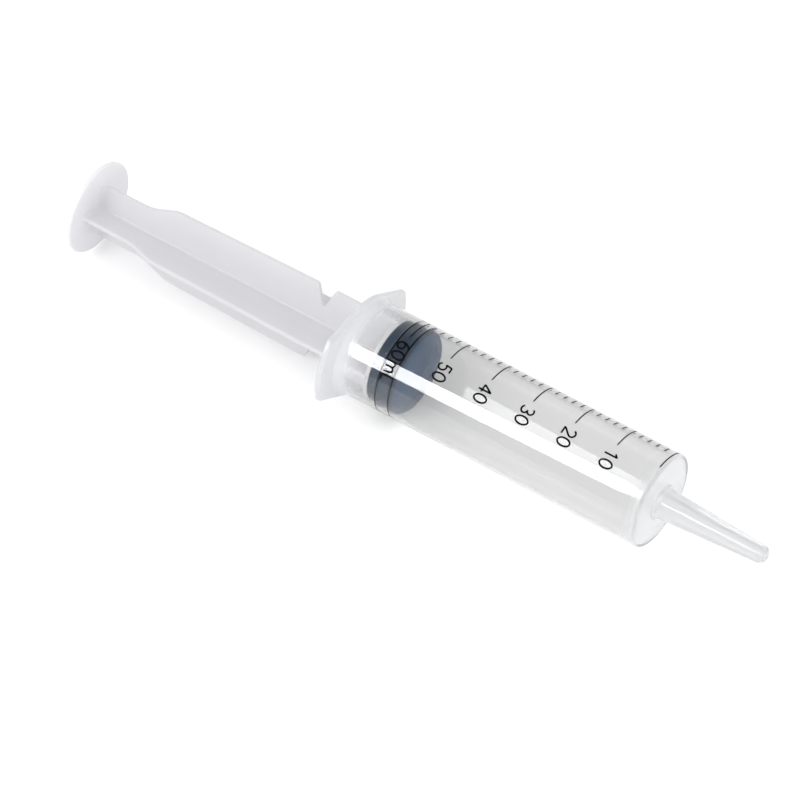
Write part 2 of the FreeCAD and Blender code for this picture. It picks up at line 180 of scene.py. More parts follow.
def flange_rim(inset):
    """Outline of the flange, moved in by inset, as a list of points (y, z)."""
    ball, turn, square = corner_ball()
    quarter = [polar(WING_REACH - inset, turn * k / END_STEPS) for k in range(END_STEPS)]
    for k in range(CORNER_STEPS + 1):
        y, z = polar(WING_CORNER - inset, turn + (square - turn) * k / CORNER_STEPS)
        quarter.append((ball[0] + y, ball[1] + z))
    last = quarter[-1]
    hub = polar(HUB_RADIUS - inset, square)
    for k in range(1, SIDE_STEPS + 1):
        part = k / SIDE_STEPS
        quarter.append((last[0] + (hub[0] - last[0]) * part, last[1] + (hub[1] - last[1]) * part))
    for k in range(1, HUB_STEPS + 1):
        quarter.append(polar(HUB_RADIUS - inset, square + (math.pi / 2 - square) * k / HUB_STEPS))
    half = quarter + [(-y, z) for y, z in reversed(quarter[:-1])]
    return half + [(-y, -z) for y, z in half[1:-1]]


rim_angles = [math.atan2(z, y) for y, z in flange_rim(0.0)]
print("the rim has %d points" % len(rim_angles))

# %% [markdown]
# ### Inside of the barrel
# The mouth is widened so that the stopper can be pressed in, and a low bead keeps it there. The
# straight bore ends at a dished wall, from which a narrowing channel leads through the tip.

# %% Profile of the inside
FLANGE_THICKNESS = 2.0
# Extra rings on the long straight walls keep their faces short.
WALL_RINGS = (20.0, 40.0, 60.0, 80.0, 100.0)
FIRST_INSIDE_RING = 4.0
# The lead-in, as (behind the mouth, wider than the bore).
LEAD_IN = [(0.0, 0.45), (0.15, 0.22), (0.45, 0.0)]
# The bead, as (before its middle, higher than the bore). The other side is its mirror image.
BEAD_MIDDLE = 1.3
BEAD = [(0.9, 0.0), (0.6, 0.09), (0.3, 0.22), (0.15, 0.25)]
INSIDE_FACE = 108.4
INSIDE_ROUND = 0.5
DISH = [(108.47, 13.0), (108.75, 8.0), (109.0, 3.0)]
LUMEN_RADIUS = 1.5
CHANNEL_MOUTH = [(109.06, 2.6), (109.3, 2.42)]
CHANNEL_TAPER = [(118.0, 2.02), (128.3, 1.54)]
CHANNEL_STRAIGHT = (129.2, 138.0, 146.4)


def inside_profile():
    profile = [(along - FLANGE_THICKNESS, BORE_RADIUS + wider) for along, wider in LEAD_IN]
    profile += [(BEAD_MIDDLE - before, BORE_RADIUS - height) for before, height in BEAD]
    profile += [(BEAD_MIDDLE + after, BORE_RADIUS - height) for after, height in reversed(BEAD)]
    profile += [(along, BORE_RADIUS) for along in (FIRST_INSIDE_RING, *WALL_RINGS)]
    corner = (INSIDE_FACE - INSIDE_ROUND, BORE_RADIUS - INSIDE_ROUND)
    profile += arc(corner, INSIDE_ROUND, 90, 0, steps=5)
    profile += DISH + CHANNEL_MOUTH + CHANNEL_TAPER
    return profile + [(along, LUMEN_RADIUS) for along in CHANNEL_STRAIGHT]


print("the inside has %d rings" % len(inside_profile()))

# %% [markdown]
# ### Outside of the barrel
# The tip is a long cone with a rounded end, so that a tube or a catheter can be pushed on. A low
# step stands at its root, and a soft shoulder leads to the straight wall. The wall widens into the
# flange by a flare, which spares the corner from cracking when a hand pulls there.

# %% Profile of the outside
TIP_END_RADIUS = 2.95
TIP_END_ROUND = 1.95
TIP_ROUND_CENTRE = 145.2
TIP_ROOT_RADIUS = 5.15
TAPER_RINGS = (138.0, 130.0, 122.0, 115.0, 111.6, 111.2)
STEP_FACE = 110.9
STEP_RADIUS = 5.9
STEP_ROUND = 0.3
STEP_INNER_RADIUS = 5.25
FRONT_FACE = 109.8
# The foot of the step, as (before the front face, wider than the step).
STEP_FOOT = [(0.3, 0.0), (0.05, 0.15), (0.0, 0.4)]
FRONT_FACE_RING = 10.0
SHOULDER_ROUND = 1.2
LAST_OUTSIDE_RING = 6.0
FLARE_LENGTH = 3.0
FLARE_HEIGHT = 1.15


def outside_profile():
    # The rounded end of the tip, its taper, and the low step at its root.
    low = TIP_END_RADIUS - TIP_END_ROUND
    start = math.degrees(math.asin((LUMEN_RADIUS - low) / TIP_END_ROUND))
    profile = arc((TIP_ROUND_CENTRE, low), TIP_END_ROUND, start, 90, steps=10)
    slope = (TIP_ROOT_RADIUS - TIP_END_RADIUS) / (TIP_ROUND_CENTRE - FRONT_FACE)
    for along in TAPER_RINGS:
        profile.append((along, TIP_END_RADIUS + slope * (TIP_ROUND_CENTRE - along)))
    profile.append((STEP_FACE, STEP_INNER_RADIUS))
    profile += arc((STEP_FACE - STEP_ROUND, STEP_RADIUS - STEP_ROUND), STEP_ROUND, 0, 90, steps=4)
    profile += [(FRONT_FACE + before, STEP_RADIUS + wider) for before, wider in STEP_FOOT]
    profile.append((FRONT_FACE, FRONT_FACE_RING))
    # The shoulder, the straight wall and the root flare.
    corner = (FRONT_FACE - SHOULDER_ROUND, BARREL_RADIUS - SHOULDER_ROUND)
    profile += arc(corner, SHOULDER_ROUND, 0, 90, steps=8)
    profile += [(along, BARREL_RADIUS) for along in (*reversed(WALL_RINGS), LAST_OUTSIDE_RING)]
    flare = (FLARE_LENGTH ** 2 + FLARE_HEIGHT ** 2) / (2 * FLARE_HEIGHT)
    sweep = math.degrees(math.asin(FLARE_LENGTH / flare))
    profile += arc((FLARE_LENGTH, BARREL_RADIUS + flare), flare, -90, -90 - sweep, steps=8)
    return profile


print("the outside has %d rings" % len(outside_profile()))

# %% One closed skin for flange, tube and tip
FLANGE_EDGE = 0.5


def flange_rings():
    """The front of the flange, its rounded rim and its back."""
    edge = arc((-FLANGE_EDGE, 0.0), FLANGE_EDGE, 0, 90, steps=5)
    edge += arc((FLANGE_EDGE - FLANGE_THICKNESS, 0.0), FLANGE_EDGE, 90, 180, steps=5)
    rings = []
    for along, out in edge:
        rings.append([placed(along, y, z) for y, z in flange_rim(FLANGE_EDGE - out)])
    return rings


barrel_rings = [ring_at(*point, rim_angles) for point in inside_profile() + outside_profile()]
barrel_shell = skin("barrel_shell", barrel_rings + flange_rings(), closed=True)
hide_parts("barrel")
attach(barrel_shell, "barrel")

# %% [markdown]
# ## Stopper
# The real stopper is a compression moulded rubber plug. Its two lips press on the bore, and
# there the rubber wets the wall: no air is left to mirror light, so each lip shows as a thin dark
# line. The lips here reach 0.03 mm into the skin of the wall, which gives part of that line, and
# their tops are painted almost black: painted shade for the light that is no longer mirrored.

# %% The rubber profile, turned
AROUND = 192
# The last ring round the middle, inside which a fan closes the mesh.
CENTRE_RING = 0.9
STOPPER_BACK = 11.1
STOPPER_BODY = 13.7
STOPPER_EDGE = 0.4
# The flat back ends a little inside its rounding, so that smooth shading keeps it flat.
FLAT_END = 13.25
# The cavity for the button of the rod, and its narrower neck.
CAVITY_END = 16.8
CAVITY_START = 13.6
CAVITY_RADIUS = 8.7
CAVITY_CHAMFER = 1.0
NECK_RADIUS = 6.1
# A lip, as (before its middle, out from the axis). Its other side is the mirror image.
BACK_LIP = 14.8
FRONT_LIP = 19.65
LIP = [(1.2, STOPPER_BODY), (0.95, 13.76), (0.45, 14.2), (0.27, 14.4), (0.25, 14.53)]
# The front lip runs into the shallow cone of the nose after its first two points.
FRONT_LIP_POINTS = 2
NOSE = [(20.2, 14.1), (20.5, 13.85), (20.64, 13.55), (20.9, 9.5), (21.15, 5.3), (21.36, 2.6)]
NOSE_END = 21.4
NOSE_FLAT = 2.1


def stopper_profile():
    profile = [(CAVITY_END, CENTRE_RING), (CAVITY_END, CAVITY_RADIUS - CAVITY_CHAMFER)]
    profile += [(CAVITY_END - CAVITY_CHAMFER, CAVITY_RADIUS), (CAVITY_START, CAVITY_RADIUS)]
    profile += [(CAVITY_START, NECK_RADIUS), (STOPPER_BACK, NECK_RADIUS), (STOPPER_BACK, FLAT_END)]
    corner = (STOPPER_BACK + STOPPER_EDGE, STOPPER_BODY - STOPPER_EDGE)
    profile += arc(corner, STOPPER_EDGE, 180, 90, steps=4)
    profile += [(BACK_LIP - before, out) for before, out in LIP]
    profile += [(BACK_LIP + after, out) for after, out in reversed(LIP)]
    profile += [(FRONT_LIP - before, out) for before, out in LIP]
    profile += [(FRONT_LIP + after, out) for after, out in list(reversed(LIP))[:FRONT_LIP_POINTS]]
    return profile + NOSE + [(NOSE_END, NOSE_FLAT), (NOSE_END, CENTRE_RING)]


even_angles = [2 * math.pi * k / AROUND for k in range(AROUND)]
stopper_rings = [ring_at(*point, even_angles) for point in stopper_profile()]
rubber_stopper = skin("rubber_stopper", stopper_rings, closed=False)
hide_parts("stopper")
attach(rubber_stopper, "stopper")

# %% [markdown]
# ## Scale
# The scale is pad printed: a film of black ink a few hundredths of a millimetre thick on the
# outside of the wall. Flat text bent by a modifier would be coarse, so every line and every
# figure is drawn as a closed ribbon along a path on the wall.
# Positions come from the bore: 10 mL fills 15.14 mm of a bore 29 mm wide.

# %% A ribbon of ink along a path on the wall
INK_LOW = BARREL_RADIUS + 0.015
INK_TOP = BARREL_RADIUS + 0.045


def on_wall(along, round_mm, out):
    """A point on the wall. round_mm is the way round it from the +Y side of the drawing."""
    return placed(along, *polar(out, round_mm / BARREL_RADIUS))


def ribbon(path, width):
    """Corners and faces of one closed thin ribbon along a path of (along, round_mm) points."""
    corners = []
    for i, here in enumerate(path):
        before = path[max(i - 1, 0)]
        after = path[min(i + 1, len(path) - 1)]
        step = Vector((after[0] - before[0], after[1] - before[1])).normalized()
        side = Vector((-step.y, step.x)) * width / 2
        left = (here[0] + side.x, here[1] + side.y)
        right = (here[0] - side.x, here[1] - side.y)
        corners += [on_wall(*left, INK_TOP), on_wall(*right, INK_TOP)]
        corners += [on_wall(*right, INK_LOW), on_wall(*left, INK_LOW)]
    faces = []
    for i in range(len(path) - 1):
        for k in range(4):
            a = i * 4 + k
            b = i * 4 + (k + 1) % 4
            faces.append((a, b, b + 4, a + 4))
    last = len(corners) - 4
    faces.append((3, 2, 1, 0))
    faces.append((last, last + 1, last + 2, last + 3))
    return corners, faces


def join_ribbons(name, ribbons):
    corners, faces = [], []
    for some_corners, some_faces in ribbons:
        base = len(corners)
        corners += some_corners
        faces += [tuple(base + i for i in face) for face in some_faces]
    return finish_mesh(name, corners, faces)


# %% [markdown]
# ### Lines of the scale
# Every tenth millilitre has a long line and every second one a short line. All of them are
# straight stretches round the wall, so the angles at which they start and end say all.

# %% Lines of the scale
FULL_SCALE_ML = 60
LINE_EVERY_ML = 2
FIGURE_EVERY_ML = 10
MM_PER_ML = 1000 / (math.pi * BORE_RADIUS ** 2)
ZERO_LINE = 108.5
LINE_WIDTH = 0.42
LINE_STEP_DEG = 2.0
# Where the lines start and end, in degrees round the wall from the +Y side of the drawing.
LONG_LINE = (66.0, 108.9)
SHORT_LINE = (69.0, 81.0)


def place_on_scale(millilitres):
    return ZERO_LINE - MM_PER_ML * millilitres


def scale_line(along, start, end):
    steps = int((end - start) / LINE_STEP_DEG)
    path = []
    for k in range(steps + 1):
        turn = math.radians(start + (end - start) * k / steps)
        path.append((along, BARREL_RADIUS * turn))
    return ribbon(path, LINE_WIDTH)


lines = []
for millilitres in range(0, FULL_SCALE_ML + 1, LINE_EVERY_ML):
    ends = SHORT_LINE if millilitres % FIGURE_EVERY_ML else LONG_LINE
    lines.append(scale_line(place_on_scale(millilitres), *ends))
scale_lines = join_ribbons("scale_lines", lines)
print("%d lines, %.2f mm apart" % (len(lines), MM_PER_ML * LINE_EVERY_ML))

# %% [markdown]
# ### Figures of the scale
# A font would come from a file, and its outlines would have to be bent round the wall. So the few
# figures needed here are written as pen strokes: each in a box one unit high, with x to the right
# as it is read and y up.

# %% Pen strokes of the figures
DIGIT_WIDTH = 0.66


def curve(centre, radii, start, end, steps):
    """Points of part of an ellipse, with angles in degrees, anticlockwise from the right."""
    points = []
    for k in range(steps + 1):
        x, y = polar(1.0, math.radians(start + (end - start) * k / steps))
        points.append((centre[0] + radii[0] * x, centre[1] + radii[1] * y))
    return points


# Each figure is its width and its strokes.
FIGURES = {
    "0": (DIGIT_WIDTH, [curve((0.31, 0.5), (0.27, 0.46), 0, 360, 36)]),
    "1": (DIGIT_WIDTH, [[(0.14, 0.76), (0.26, 0.82), (0.36, 0.97), (0.36, 0.02)]]),
    "2": (DIGIT_WIDTH, [curve((0.3, 0.7), (0.25, 0.26), 165, -25, 16)
                        + [(0.4, 0.43), (0.2, 0.22), (0.06, 0.04), (0.58, 0.04)]]),
    "3": (DIGIT_WIDTH, [curve((0.28, 0.73), (0.23, 0.23), 150, -90, 16)[:-1]
                        + curve((0.28, 0.27), (0.26, 0.23), 90, -150, 16)]),
    "4": (DIGIT_WIDTH, [[(0.44, 0.02), (0.44, 0.96), (0.05, 0.3), (0.6, 0.3)]]),
    "5": (DIGIT_WIDTH, [[(0.54, 0.96), (0.16, 0.96), (0.1, 0.52)]
                        + curve((0.29, 0.32), (0.25, 0.28), 130, -150, 16)]),
    "6": (DIGIT_WIDTH, [curve((0.31, 0.3), (0.25, 0.27), 0, 360, 26),
                        curve((0.58, 0.36), (0.52, 0.6), 180, 105, 10)]),
    "m": (0.92, [[(0.08, 0.02), (0.08, 0.66)],
                 [(0.08, 0.45)] + curve((0.27, 0.45), (0.18, 0.2), 170, 0, 8) + [(0.46, 0.02)],
                 [(0.46, 0.45)] + curve((0.65, 0.45), (0.18, 0.2), 170, 0, 8) + [(0.84, 0.02)]]),
    "L": (0.52, [[(0.1, 0.98), (0.1, 0.04), (0.5, 0.04)]]),
}
print("figures drawn:", " ".join(FIGURES))

# %% Keep the width of a stroke round its corners
SHARP_CORNER = math.radians(30)
CORNER_CUT = 0.03


def with_soft_corners(path):
    """Cut each sharp corner of a path into short steps, so that the ribbon keeps its width there."""
    soft = [path[0]]
    for before, here, after in zip(path, path[1:], path[2:]):
        into = Vector(here) - Vector(before)
        out = Vector(after) - Vector(here)
        if into.length > 0 and out.length > 0 and into.angle(out) > SHARP_CORNER:
            cut = min(CORNER_CUT, into.length / 3, out.length / 3)
            first = Vector(here) - into.normalized() * cut
            last = Vector(here) + out.normalized() * cut
            soft += [tuple(first), tuple((first + last + Vector(here)) / 3), tuple(last)]
        else:
            soft.append(here)
    soft.append(path[-1])
    return soft


# %% Write the figures beside their lines
FIGURE_HEIGHT = 4.7
FIGURE_STROKE = 0.6
# The gap between two figures, as a share of their height.
FIGURE_GAP = 0.07
# Where the first figure starts, round the wall from the +Y side of the drawing.
FIGURES_START = math.radians(117.3)
# How far the middle of a figure stands off its line, towards the tip.
FIGURES_SHIFT = 0.3


def figure_strokes(text, along):
    """Strokes of a text whose tops point to the tip, read round the wall towards the viewer."""
    strokes = []
    pen = FIGURES_START * BARREL_RADIUS
    for letter in text:
        width, paths = FIGURES[letter]
        for path in paths:
            on_barrel = []
            for right, up in with_soft_corners(path):
                x = along + FIGURES_SHIFT + (up - 0.5) * FIGURE_HEIGHT
                on_barrel.append((x, pen + right * FIGURE_HEIGHT))
            strokes.append(ribbon(on_barrel, FIGURE_STROKE))
        pen += (width + FIGURE_GAP) * FIGURE_HEIGHT
    return strokes


figures = []
for millilitres in range(FIGURE_EVERY_ML, FULL_SCALE_ML + 1, FIGURE_EVERY_ML):
    label = "%d" % millilitres
    if millilitres == FULL_SCALE_ML:
        label += "mL"
    figures += figure_strokes(label, place_on_scale(millilitres))
scale_figures = join_ribbons("scale_figures", figures)

for print_piece in (scale_lines, scale_figures):
    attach(print_piece, "barrel")

# %% [markdown]
# ## Materials
# One function adds a node with its settings and links. Colours are written as the hex values that
# a screen shows, and one function turns them into the linear values that the renderer mixes.


# %% Colour and node helpers
def linear(hex_code, alpha=1.0):
    """Linear RGBA of a colour written as RRGGBB."""
    channels = []
    for k in (0, 2, 4):
        c = int(hex_code[k:k + 2], 16) / 255
        channels.append(c / 12.92 if c <= 0.04045 else ((c + 0.055) / 1.055) ** 2.4)
    return (*channels, alpha)


def add_node(tree, kind, settings=None, inputs=None):
    """Add one node. An input is a number, a colour or the output socket that feeds it."""
    node = tree.nodes.new(kind)
    for name, value in (settings or {}).items():
        setattr(node, name, value)
    for name, value in (inputs or {}).items():
        socket = node.inputs[name]
        if isinstance(value, bpy.types.NodeSocket):
            tree.links.new(value, socket)
        else:
            socket.default_value = value
    return node


def new_material(name):
    material = bpy.data.materials.new(name)
    material.use_nodes = True
    material.node_tree.nodes.clear()
    return material, material.node_tree


def distance_from_axis(tree, place):
    """The output that says how far a point lies from the axis of the syringe."""
    off_axis = add_node(tree, "ShaderNodeVectorMath", {"operation": "MULTIPLY"}, {
        0: place.outputs["Object"], 1: (0.0, 1.0, 1.0)})
    distance = add_node(tree, "ShaderNodeVectorMath", {"operation": "LENGTH"}, {
        0: off_axis.outputs[0]})
    return distance.outputs["Value"]


def per_mm(millimetres):
    """Scale of a pattern whose cells are that wide."""
    return 1 / (millimetres * MM)


# Both grades of polypropylene bend light alike.
POLYPROPYLENE_IOR = 1.49
RUBBER_IOR = 1.52

# %% [markdown]
# ### Clear polypropylene
# Random copolymer polypropylene is clear but never quite: crystals in it scatter a little light,
# which lays a thin white veil over what is behind it. Its index of refraction is 1.49. The mould
# is polished, so it is glossy, with a faint unevenness of a few millimetres from the flow.
# Milkiness follows from thickness. The tube has next to none, the flange and its root have most,
# and the front wall with the tip lies between them. Haze by a rough surface would blur the clear
# tube too, so a share of each skin is a white plastic instead, and that share changes along X.
# Shadow rays and diffuse rays pass straight through, as thin glass is usually set up, so the
# inside and the table below are lit.

# %% Clear moulded polypropylene
# Each veil as its start and end along X in millimetres, and its share at the two.
VEILS = {
    "flange": (1.5, 5.5, 0.9, 0.0),
    "root": (3.0, 11.5, 0.25, 0.0),
    "front": (104.0, 109.0, 0.006, 0.4),
}
# Between these places the white of the veil turns from that of the flange to that of the front.
WHITE_TURNS = (20.0, 100.0)
WHITE_SCATTERED_ON = 0.5


def clear_polypropylene():
    material, tree = new_material("clear_polypropylene_moulded")
    place = add_node(tree, "ShaderNodeTexCoord")
    flow = add_node(tree, "ShaderNodeTexNoise", inputs={
        "Vector": place.outputs["Object"], "Scale": per_mm(9.0), "Detail": 2.0, "Roughness": 0.5})
    uneven = add_node(tree, "ShaderNodeBump", inputs={
        "Strength": 0.004, "Distance": 0.2 * MM, "Height": flow.outputs["Fac"]})
    clarity = add_node(tree, "ShaderNodeMapRange", inputs={
        "Value": flow.outputs["Fac"], "To Min": 0.02, "To Max": 0.05})
    body = add_node(tree, "ShaderNodeBsdfPrincipled", inputs={
        "Base Color": linear("FCFCFC"), "Roughness": clarity.outputs["Result"],
        "IOR": POLYPROPYLENE_IOR, "Transmission Weight": 1.0, "Normal": uneven.outputs["Normal"]})
    # The veils of flange and root overlap, and the stronger one counts.
    parts = add_node(tree, "ShaderNodeSeparateXYZ", inputs={"Vector": place.outputs["Object"]})
    share = {}
    for region, (start, end, at_start, at_end) in VEILS.items():
        ramp = add_node(tree, "ShaderNodeMapRange", {"interpolation_type": "SMOOTHSTEP"}, {
            "Value": parts.outputs["X"], "From Min": start * MM, "From Max": end * MM,
            "To Min": at_start, "To Max": at_end})
        share[region] = ramp.outputs["Result"]
    back = add_node(tree, "ShaderNodeMath", {"operation": "MAXIMUM"}, {
        0: share["flange"], 1: share["root"]})
    veil = add_node(tree, "ShaderNodeMath", {"operation": "ADD"}, {
        0: back.outputs[0], 1: share["front"]})
    cloud = add_node(tree, "ShaderNodeTexNoise", inputs={
        "Vector": place.outputs["Object"], "Scale": per_mm(30.0), "Detail": 3.0})
    patch = add_node(tree, "ShaderNodeMapRange", inputs={
        "Value": cloud.outputs["Fac"], "To Min": 0.85, "To Max": 1.15})
    cloudy_veil = add_node(tree, "ShaderNodeMath", {"operation": "MULTIPLY", "use_clamp": True}, {
        0: veil.outputs[0], 1: patch.outputs["Result"]})
    # The flange is the thickest plate and so the whitest.
    thinner = add_node(tree, "ShaderNodeMapRange", inputs={
        "Value": parts.outputs["X"], "From Min": WHITE_TURNS[0] * MM,
        "From Max": WHITE_TURNS[1] * MM})
    white = add_node(tree, "ShaderNodeMix", {"data_type": "RGBA"}, {
        0: thinner.outputs["Result"], 6: linear("E4E5E7"), 7: linear("DFE0E2")})
    milk = add_node(tree, "ShaderNodeBsdfPrincipled", inputs={
        "Base Color": white.outputs[2], "Roughness": 0.08, "IOR": POLYPROPYLENE_IOR,
        "Normal": uneven.outputs["Normal"]})
    glow = add_node(tree, "ShaderNodeBsdfTranslucent", inputs={"Color": white.outputs[2]})
    scatter = add_node(tree, "ShaderNodeMixShader", inputs={
        0: WHITE_SCATTERED_ON, 1: milk.outputs[0], 2: glow.outputs[0]})
    wall = add_node(tree, "ShaderNodeMixShader", inputs={
        0: cloudy_veil.outputs[0], 1: body.outputs[0], 2: scatter.outputs[0]})
    rays = add_node(tree, "ShaderNodeLightPath")
    through = add_node(tree, "ShaderNodeBsdfTransparent", inputs={"Color": linear("FFFFFF")})
    soft_light = add_node(tree, "ShaderNodeMixShader", inputs={
        0: rays.outputs["Is Diffuse Ray"], 1: wall.outputs[0], 2: through.outputs[0]})
    shown = add_node(tree, "ShaderNodeMixShader", inputs={
        0: rays.outputs["Is Shadow Ray"], 1: soft_light.outputs[0], 2: through.outputs[0]})
    add_node(tree, "ShaderNodeOutputMaterial", inputs={"Surface": shown.outputs[0]})
    return material


barrel_shell.data.materials.append(clear_polypropylene())
print("barrel:", barrel_shell.data.materials[0].name)

# %% [markdown]
# ### Milky polypropylene
# The rod is the plain grade: milky, because its crystals scatter more. Ribs this thin let light
# through, so lit and shaded sides look almost the same. A share of translucent shading does that.
# The mould of a rod is only smoothed, not polished, which gives a satin face with a fine grain.
# The real grain is too fine to show, so it is drawn 0.8 mm wide.

# %% Milky moulded polypropylene
# How far from the axis the painted crease light reaches, and where the thumb disc starts, in
# millimetres.
CREASE_LIGHT_REACH = (0.5, 9.0)
DISC_START = (-100.0, -102.0)
LIGHT_PASSED_ON = 0.45


def milky_polypropylene():
    material, tree = new_material("milky_polypropylene_moulded")
    place = add_node(tree, "ShaderNodeTexCoord")
    cloud = add_node(tree, "ShaderNodeTexNoise", inputs={
        "Vector": place.outputs["Object"], "Scale": per_mm(14.0), "Detail": 3.0})
    tone = add_node(tree, "ShaderNodeMix", {"data_type": "RGBA"}, {
        0: cloud.outputs["Fac"], 6: linear("E2E2E4"), 7: linear("E6E6E8")})
    # Near the axis the colour is painted lighter: painted light against the shade in the rib creases.
    painted_crease_light = add_node(tree, "ShaderNodeMapRange", {"interpolation_type": "SMOOTHSTEP"}, {
        "Value": distance_from_axis(tree, place), "From Min": CREASE_LIGHT_REACH[0] * MM,
        "From Max": CREASE_LIGHT_REACH[1] * MM, "To Min": 0.7, "To Max": 0.0})
    white = add_node(tree, "ShaderNodeMix", {"data_type": "RGBA"}, {
        0: painted_crease_light.outputs["Result"], 6: tone.outputs[2], 7: linear("ECECEE")})
    # The thumb disc is painted lighter too: painted light on its face, which lies away from the key
    # lamp.
    parts = add_node(tree, "ShaderNodeSeparateXYZ", inputs={"Vector": place.outputs["Object"]})
    disc_painted_light = add_node(tree, "ShaderNodeMapRange", {"interpolation_type": "SMOOTHSTEP"}, {
        "Value": parts.outputs["X"], "From Min": DISC_START[0] * MM,
        "From Max": DISC_START[1] * MM})
    tone_with_painted_light = add_node(tree, "ShaderNodeMix", {"data_type": "RGBA"}, {
        0: disc_painted_light.outputs["Result"], 6: white.outputs[2], 7: linear("F2F2F4")})
    grain = add_node(tree, "ShaderNodeTexNoise", inputs={
        "Vector": place.outputs["Object"], "Scale": per_mm(0.8), "Detail": 4.0})
    relief = add_node(tree, "ShaderNodeBump", inputs={
        "Strength": 0.12, "Distance": 0.05 * MM, "Height": grain.outputs["Fac"]})
    satin = add_node(tree, "ShaderNodeMapRange", inputs={
        "Value": grain.outputs["Fac"], "To Min": 0.3, "To Max": 0.42})
    body = add_node(tree, "ShaderNodeBsdfPrincipled", inputs={
        "Base Color": tone_with_painted_light.outputs[2], "Roughness": satin.outputs["Result"],
        "IOR": POLYPROPYLENE_IOR, "Normal": relief.outputs["Normal"]})
    glow = add_node(tree, "ShaderNodeBsdfTranslucent", inputs={"Color": tone_with_painted_light.outputs[2]})
    shown = add_node(tree, "ShaderNodeMixShader", inputs={
        0: LIGHT_PASSED_ON, 1: body.outputs[0], 2: glow.outputs[0]})
    add_node(tree, "ShaderNodeOutputMaterial", inputs={"Surface": shown.outputs[0]})
    return material


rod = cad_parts["plunger_rod"]
rod.data.materials.clear()
rod.data.materials.append(milky_polypropylene())
print("rod:", rod.data.materials[0].name)

# %% [markdown]
# ### Isoprene rubber
# The stopper is a dark slate isoprene rubber with a film of silicone oil. Rubber shows a broad
# soft sheen, a fine matte grain from its mould, and it holds light specks of dust.

# %% Isoprene rubber
# From here on along X the nose is painted lighter and bluer: painted sheen for the light it mirrors.
NOSE_SHEEN_STARTS = (20.3, 20.8)
# Rubber farther out than this is pressed on the wall, and only the tops of the lips are.
PRESSED_OUT = (14.44, 14.47)


def isoprene_rubber():
    material, tree = new_material("isoprene_rubber_moulded")
    place = add_node(tree, "ShaderNodeTexCoord")
    grain = add_node(tree, "ShaderNodeTexNoise", inputs={
        "Vector": place.outputs["Object"], "Scale": per_mm(0.5), "Detail": 3.0})
    relief = add_node(tree, "ShaderNodeBump", inputs={
        "Strength": 0.1, "Distance": 0.04 * MM, "Height": grain.outputs["Fac"]})
    dust = add_node(tree, "ShaderNodeTexVoronoi", inputs={
        "Vector": place.outputs["Object"], "Scale": per_mm(2.4), "Randomness": 1.0})
    speck = add_node(tree, "ShaderNodeMapRange", inputs={
        "Value": dust.outputs["Distance"], "From Min": 0.05, "From Max": 0.09,
        "To Min": 0.5, "To Max": 0.0})
    parts = add_node(tree, "ShaderNodeSeparateXYZ", inputs={"Vector": place.outputs["Object"]})
    # Along the nose the rubber colour turns lighter and bluer: painted sheen.
    nose_sheen = add_node(tree, "ShaderNodeMapRange", {"interpolation_type": "SMOOTHSTEP"}, {
        "Value": parts.outputs["X"], "From Min": NOSE_SHEEN_STARTS[0] * MM,
        "From Max": NOSE_SHEEN_STARTS[1] * MM})
    rubber = add_node(tree, "ShaderNodeMix", {"data_type": "RGBA"}, {
        0: nose_sheen.outputs["Result"], 6: linear("2E3A49"), 7: linear("32465F")})
    tone = add_node(tree, "ShaderNodeMix", {"data_type": "RGBA"}, {
        0: speck.outputs["Result"], 6: rubber.outputs[2], 7: linear("A9B0B8")})
    body = add_node(tree, "ShaderNodeBsdfPrincipled", inputs={
        "Base Color": tone.outputs[2], "Roughness": 0.22, "IOR": RUBBER_IOR,
        "Normal": relief.outputs["Normal"]})
    # Where a lip wets the wall, no air is left to mirror light. The wet contact is real, and its
    # near-black is painted shade for that missing mirrored light.
    pressed_painted_dark = add_node(tree, "ShaderNodeBsdfPrincipled", inputs={
        "Base Color": linear("0C1015"), "Roughness": 0.6, "Specular IOR Level": 0.0})
    pressed = add_node(tree, "ShaderNodeMapRange", inputs={
        "Value": distance_from_axis(tree, place), "From Min": PRESSED_OUT[0] * MM,
        "From Max": PRESSED_OUT[1] * MM})
    shown = add_node(tree, "ShaderNodeMixShader", inputs={
        0: pressed.outputs["Result"], 1: body.outputs[0], 2: pressed_painted_dark.outputs[0]})
    add_node(tree, "ShaderNodeOutputMaterial", inputs={"Surface": shown.outputs[0]})
    return material


rubber_stopper.data.materials.append(isoprene_rubber())
print("stopper:", rubber_stopper.data.materials[0].name)

# %% [markdown]
# ### Printing ink
# Black pad printing ink dries to a matte film. It is thinner where the pad lifted off, so the
# black is not quite even.


# %% Pad printing ink
def pad_printing_ink():
    material, tree = new_material("pad_printing_ink")
    place = add_node(tree, "ShaderNodeTexCoord")
    cover = add_node(tree, "ShaderNodeTexNoise", inputs={
        "Vector": place.outputs["Object"], "Scale": per_mm(0.7), "Detail": 2.0})
    tone = add_node(tree, "ShaderNodeMix", {"data_type": "RGBA"}, {
        0: cover.outputs["Fac"], 6: linear("020202"), 7: linear("080808")})
    body = add_node(tree, "ShaderNodeBsdfPrincipled", inputs={
        "Base Color": tone.outputs[2], "Roughness": 0.6, "Specular IOR Level": 0.05})
    add_node(tree, "ShaderNodeOutputMaterial", inputs={"Surface": body.outputs[0]})
    return material


ink = pad_printing_ink()
for print_piece in (scale_lines, scale_figures):
    print_piece.data.materials.append(ink)
    print("%s: %s" % (print_piece.name, ink.name))

# %% [markdown]
# ## Table
# The syringe lies on a plain white table. In the photograph the surroundings are pure white, but
# what shows through the clear wall is a light grey, and a darker grey towards the wall's outline.
# One finish can't be both. So the table is white where it is seen directly, and grey where a ray
# has come through the wall; that grey is painted darker away from the middle of the strip seen
# through the barrel, as painted shade. Both are a plain matte paint.

# %% Table
FLOOR_LEVEL = -HUB_RADIUS * MM
FLOOR_HALF = 3.0
TABLE_ROUGHNESS = 0.9
